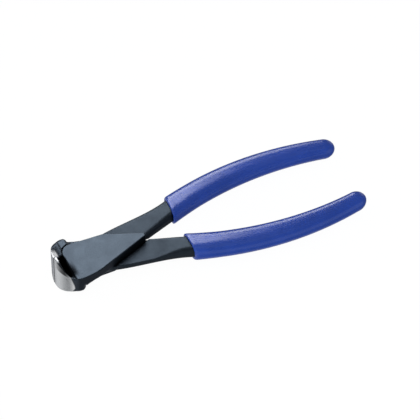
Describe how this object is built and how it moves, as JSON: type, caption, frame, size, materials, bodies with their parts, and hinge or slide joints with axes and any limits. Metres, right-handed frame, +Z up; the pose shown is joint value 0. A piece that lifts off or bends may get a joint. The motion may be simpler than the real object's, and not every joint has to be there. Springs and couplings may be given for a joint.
{
  "type": "end cutting nippers",
  "caption": "End cutting nippers with two crossing forged levers in a lap joint, wide ground jaws with a hollow behind the edges and sleeve grips on bowed handles.",
  "frame": {"origin": "middle of the bounding box in plan, on the plane that the jaws rest on", "axes": "+X along the tool from the cutting edge to the handle ends, +Y towards the front lever's handle, +Z up along the rivet, out of the front lever's plate"},
  "size_m": [0.2, 0.0702, 0.0245],
  "materials": {
    "lever_steel": "black oxide, jaws ground bright",
    "rivet_steel": "black oxide, ground flush",
    "grip_plastic": "glossy dipped vinyl"
  },
  "bodies": {
    "back": {"back_lever": "lever_steel", "back_grip": "grip_plastic", "pivot_rivet": "rivet_steel"},
    "front": {"front_lever": "lever_steel", "front_grip": "grip_plastic"}
  },
  "joints": [
    {"name": "jaw_pivot", "type": "hinge", "parent": "back", "child": "front", "pos_m": [-0.073, 0, 0.01225], "axis": [0, 0, 1], "range_deg": [0, 40]}
  ]
}
